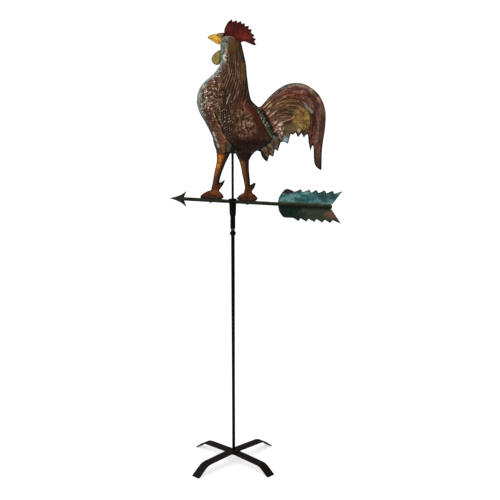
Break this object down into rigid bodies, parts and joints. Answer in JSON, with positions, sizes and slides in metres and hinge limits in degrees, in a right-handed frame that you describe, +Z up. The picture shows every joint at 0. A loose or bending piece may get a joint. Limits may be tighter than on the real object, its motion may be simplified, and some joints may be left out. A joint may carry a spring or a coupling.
{
  "type": "weather vane",
  "caption": "Garden-stand weather vane: a hollow rooster on a notched arrow that turns freely on a bearing spindle, on a slim pole with a crossed flat-bar base.",
  "frame": {"origin": "on the ground, under the pole's axis", "axes": "+Z up along the pole; the arrow lies along X and points to -X; the rooster's left side faces -Y"},
  "size_m": [0.704, 0.4088, 1.75],
  "materials": {
    "base_iron": "satin black paint over iron, slightly brown",
    "black_iron": "satin black",
    "dark_fasteners": "blackened steel",
    "bearing_steel": "ground and polished",
    "bearing_bronze": "oiled, machined",
    "arrow_brass": "dark olive patina",
    "verdigris_sheet": "green-blue patina with dark edges",
    "body_copper": "dark brown patina, blue-grey on the breast",
    "inner_brass": "plain, soldered",
    "beak_yellow": "ochre patina",
    "comb_red": "maroon patina",
    "wattle_ochre": "olive yellow patina",
    "tail_copper": "copper brown, streaked",
    "under_tail_bronze": "olive tan with dark tips",
    "leg_bronze": "orange-brown, dark at the feet"
  },
  "bodies": {
    "stand": {"base_strap_lower": "base_iron", "base_strap_upper": "base_iron", "base_bolt": "dark_fasteners", "base_washer": "dark_fasteners", "base_lock_washer": "dark_fasteners", "pole": "black_iron", "pole_coupling": "black_iron", "coupling_set_screw": "dark_fasteners", "spindle": "bearing_steel", "thrust_ball": "bearing_steel"},
    "vane": {"bearing_sleeve": "black_iron", "lower_bush": "bearing_bronze", "upper_bush": "bearing_bronze", "hub": "black_iron", "hub_set_screw": "dark_fasteners", "hub_cap": "black_iron", "support_rod": "black_iron", "arrow_bar": "arrow_brass", "arrowhead": "arrow_brass", "bar_end_plug": "arrow_brass", "fletching": "verdigris_sheet", "fletching_rivets": "arrow_brass", "body_shell_left": "body_copper", "body_shell_right": "body_copper", "socket_tube": "inner_brass", "socket_plug": "inner_brass", "lower_brace": "inner_brass", "upper_brace": "inner_brass", "beak": "beak_yellow", "comb": "comb_red", "wattle": "wattle_ochre", "tail_shell_left": "tail_copper", "tail_shell_right": "tail_copper", "under_tail_feathers": "under_tail_bronze", "front_leg": "leg_bronze", "rear_leg": "leg_bronze", "foot_screws": "dark_fasteners"}
  },
  "joints": [
    {"name": "vane_spin", "type": "hinge", "parent": "stand", "child": "vane", "pos_m": [0, 0, 1.04], "axis": [0, 0, 1], "continuous": true}
  ]
}
